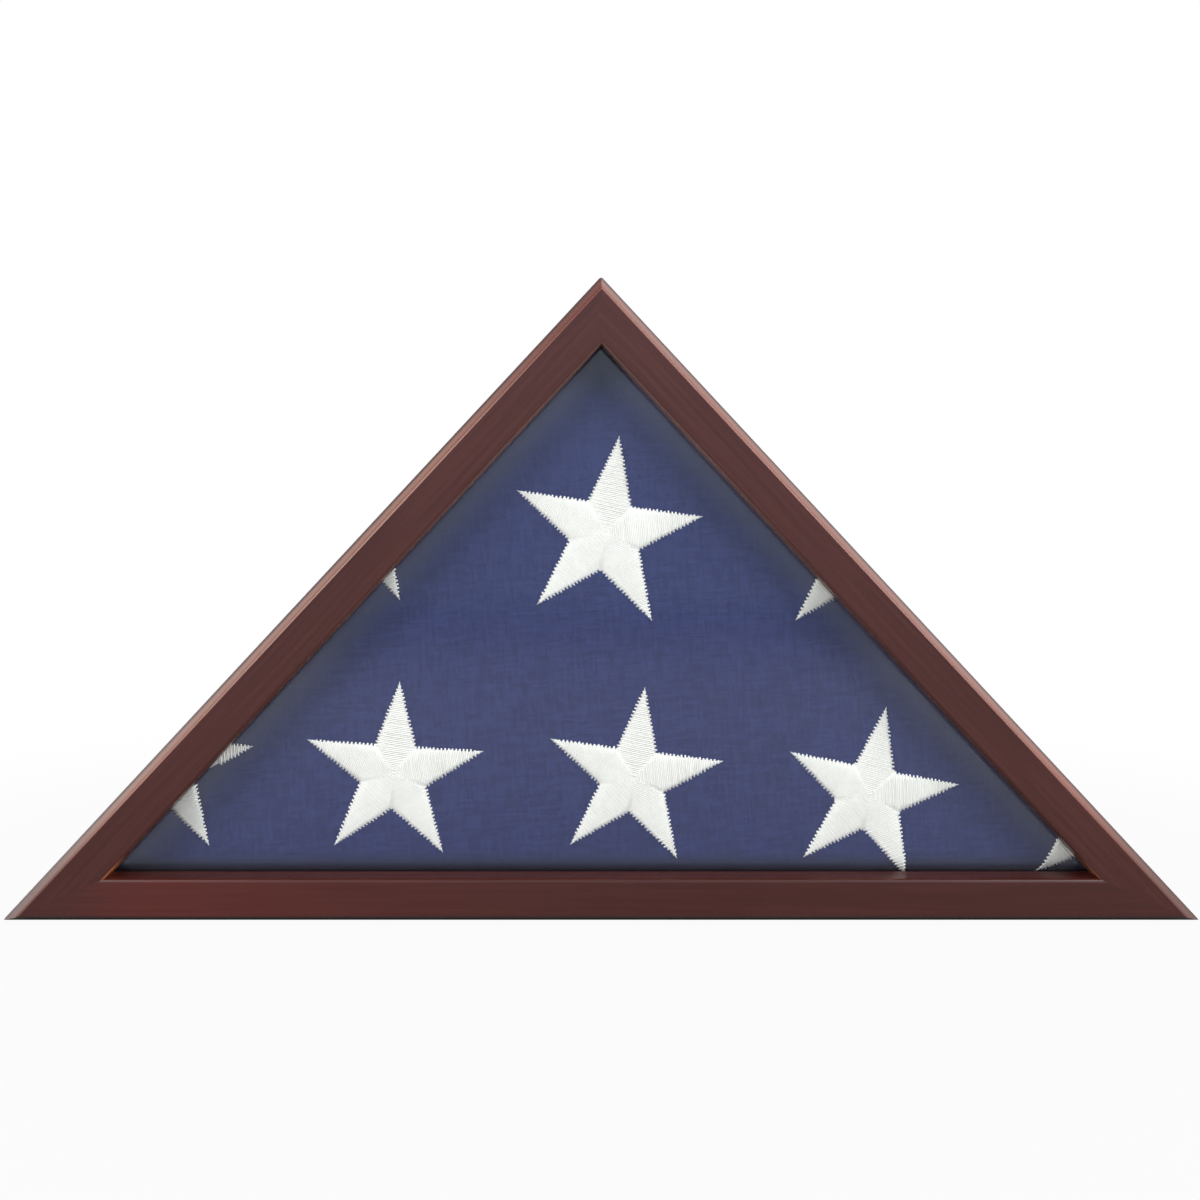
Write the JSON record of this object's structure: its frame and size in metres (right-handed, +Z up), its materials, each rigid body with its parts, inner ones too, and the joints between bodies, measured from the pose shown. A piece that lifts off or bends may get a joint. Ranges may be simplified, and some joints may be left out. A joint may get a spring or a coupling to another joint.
{
  "type": "folded flag display case",
  "caption": "Triangular glazed wooden display case with canted mouldings, holding a folded star-field flag; turn buttons hold a removable back panel.",
  "frame": {"origin": "middle of the underside that the case stands on", "axes": "+X along the base to the right as seen from the front, +Y from the glazed front to the rear, +Z up"},
  "size_m": [0.618, 0.089, 0.3323],
  "materials": {
    "stained_wood": "satin lacquer over dark red-brown stain",
    "stop_wood": "stained, thin lacquer",
    "spline_wood": "bare plywood",
    "glass": "clear float glass",
    "steel": "bright wire",
    "panel_board": "dark hardboard, smooth side out",
    "brass": "plated, lightly worn",
    "brass_screw": "plated",
    "flag_cloth": "plain woven cotton bunting",
    "star_thread": "satin-stitched thread"
  },
  "bodies": {
    "case": {"bottom_rail": "stained_wood", "right_rail": "stained_wood", "left_rail": "stained_wood", "base_board": "stained_wood", "right_wall": "stained_wood", "left_wall": "stained_wood", "bottom_glass_stop": "stop_wood", "right_glass_stop": "stop_wood", "left_glass_stop": "stop_wood", "left_spline": "spline_wood", "right_spline": "spline_wood", "apex_spline": "spline_wood", "glass_pane": "glass", "stop_brads": "steel", "turn_button_screws": "brass_screw", "folded_flag": "flag_cloth", "embroidered_stars": "star_thread"},
    "back_panel": {"back_panel": "panel_board"},
    "bottom_turn_button_1": {"bottom_turn_button_1": "brass"},
    "bottom_turn_button_2": {"bottom_turn_button_2": "brass"},
    "right_turn_button_1": {"right_turn_button_1": "brass"},
    "right_turn_button_2": {"right_turn_button_2": "brass"},
    "left_turn_button_1": {"left_turn_button_1": "brass"},
    "left_turn_button_2": {"left_turn_button_2": "brass"}
  },
  "joints": [
    {"name": "back_panel_lift", "type": "slide", "parent": "case", "child": "back_panel", "axis": [0, 1, 0], "range_m": [0, 0.12]},
    {"name": "bottom_turn_button_1_turn", "type": "hinge", "parent": "case", "child": "bottom_turn_button_1", "pos_m": [-0.10333, 0.04147, 0.005], "axis": [0, -1, 0], "continuous": true},
    {"name": "bottom_turn_button_2_turn", "type": "hinge", "parent": "case", "child": "bottom_turn_button_2", "pos_m": [0.10333, 0.04147, 0.005], "axis": [0, -1, 0], "continuous": true},
    {"name": "right_turn_button_1_turn", "type": "hinge", "parent": "case", "child": "right_turn_button_1", "pos_m": [0.203, 0.04147, 0.1078], "axis": [0, -1, 0], "continuous": true},
    {"name": "right_turn_button_2_turn", "type": "hinge", "parent": "case", "child": "right_turn_button_2", "pos_m": [0.09967, 0.04147, 0.219], "axis": [0, -1, 0], "continuous": true},
    {"name": "left_turn_button_1_turn", "type": "hinge", "parent": "case", "child": "left_turn_button_1", "pos_m": [-0.09967, 0.04147, 0.219], "axis": [0, -1, 0], "continuous": true},
    {"name": "left_turn_button_2_turn", "type": "hinge", "parent": "case", "child": "left_turn_button_2", "pos_m": [-0.203, 0.04147, 0.1078], "axis": [0, -1, 0], "continuous": true}
  ]
}
